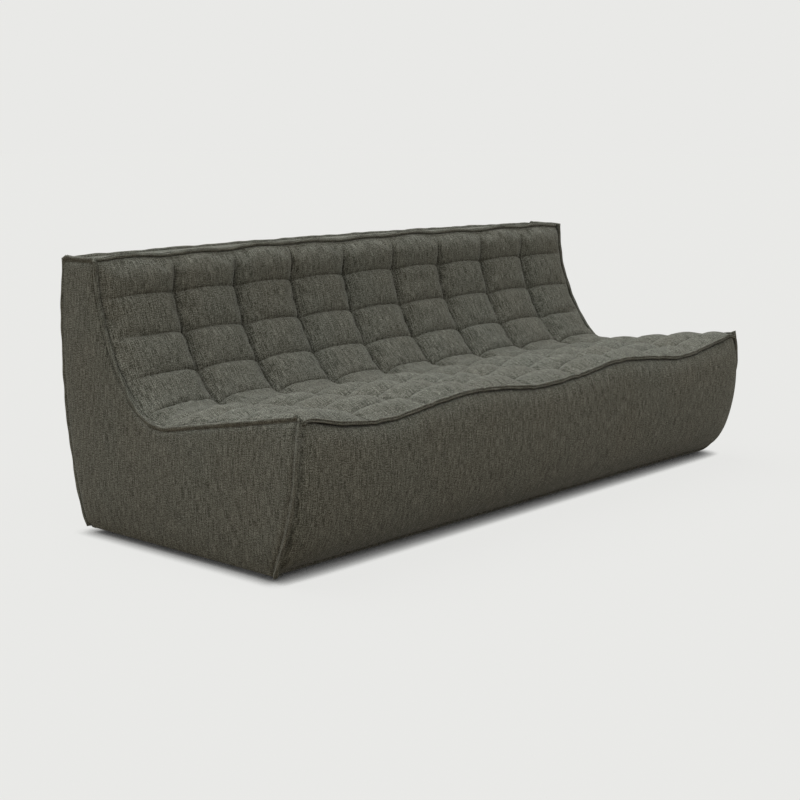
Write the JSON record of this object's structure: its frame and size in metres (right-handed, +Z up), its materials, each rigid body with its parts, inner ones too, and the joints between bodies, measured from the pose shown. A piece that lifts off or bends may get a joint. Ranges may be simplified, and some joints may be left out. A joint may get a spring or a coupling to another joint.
{
  "type": "three-seater sofa",
  "caption": "Low armless sofa with one continuous biscuit-tufted seat and back pad, flat end panels, flat welts on the seams and hidden glides.",
  "frame": {"origin": "on the floor under the centre of the sofa", "axes": "+X along the width to the sitter's left, -Y to the front, +Z up"},
  "size_m": [2.1, 0.9098, 0.76],
  "materials": {
    "plywood": "raw birch plywood",
    "timber": "planed pine",
    "hardboard": "smooth hardboard",
    "foam": "open-cell foam",
    "webbing": "elastic webbing",
    "cover_fabric": "linen-look melange weave",
    "welt_fabric": "double-stitched weave",
    "dust_cloth": "non-woven cloth",
    "glide_plastic": "matte",
    "screw_steel": "zinc plated"
  },
  "bodies": {
    "root": {"back_foam": "foam", "corner_block_front_left": "timber", "corner_block_front_right": "timber", "corner_block_rear_left": "timber", "corner_block_rear_right": "timber", "cross_straps": "webbing", "dust_cover": "dust_cloth", "front_cover": "cover_fabric", "front_edge_welt": "welt_fabric", "front_foam": "foam", "front_glide_screws": "screw_steel", "front_glides": "glide_plastic", "front_panel": "plywood", "front_seat_rail": "timber", "front_sole_rail": "timber", "inner_back_board": "hardboard", "left_end_frame": "plywood", "left_rib": "plywood", "left_side_cover": "cover_fabric", "left_side_foam": "foam", "left_side_welt": "welt_fabric", "lumbar_foam": "foam", "lumbar_rail": "timber", "outer_back_board": "hardboard", "rear_cover": "cover_fabric", "rear_glide_screws": "screw_steel", "rear_glides": "glide_plastic", "rear_seat_rail": "timber", "rear_sole_rail": "timber", "right_end_frame": "plywood", "right_rib": "plywood", "right_side_cover": "cover_fabric", "right_side_foam": "foam", "right_side_welt": "welt_fabric", "seat_foam_centre": "foam", "seat_foam_left": "foam", "seat_foam_right": "foam", "seat_straps": "webbing", "top_cover": "cover_fabric", "top_foam": "foam", "top_front_welt": "welt_fabric", "top_rail": "timber", "top_rear_welt": "welt_fabric", "tufted_pad": "cover_fabric"}
  },
  "joints": []
}
